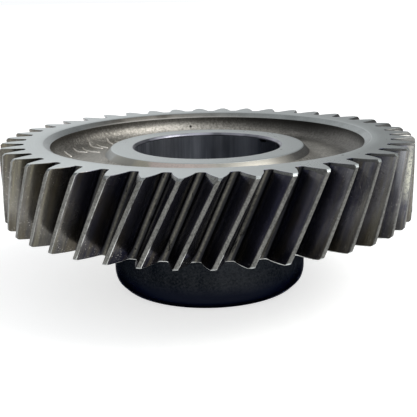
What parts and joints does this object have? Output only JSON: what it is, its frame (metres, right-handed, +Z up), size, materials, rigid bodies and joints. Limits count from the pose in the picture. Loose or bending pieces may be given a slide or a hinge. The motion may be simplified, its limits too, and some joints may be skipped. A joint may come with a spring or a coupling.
{
  "type": "helical gear",
  "caption": "Right-hand helical transmission gear with a forged recessed web, a bored hub that runs on below the teeth as a long plain sleeve, and a ground bush in the bore.",
  "frame": {"origin": "centre of the bore in the plane of the hub's lower end face, which is the middle of the bottom of the bounding box", "axes": "+Z up along the bore axis, from the hub's lower end towards the toothed rim; +X and +Y are free because the part is round"},
  "size_m": [0.1954, 0.1954, 0.0725],
  "materials": {
    "cut_teeth": "machined faces, oily dark tooth flanks",
    "forged_web": "shot-blasted forging skin",
    "turned_hub": "turned top face, black lower sleeve",
    "ground_bush": "ground and oiled"
  },
  "bodies": {
    "root": {"toothed_rim": "cut_teeth", "web_disc": "forged_web", "hub": "turned_hub", "bore_bush": "ground_bush"}
  },
  "joints": []
}
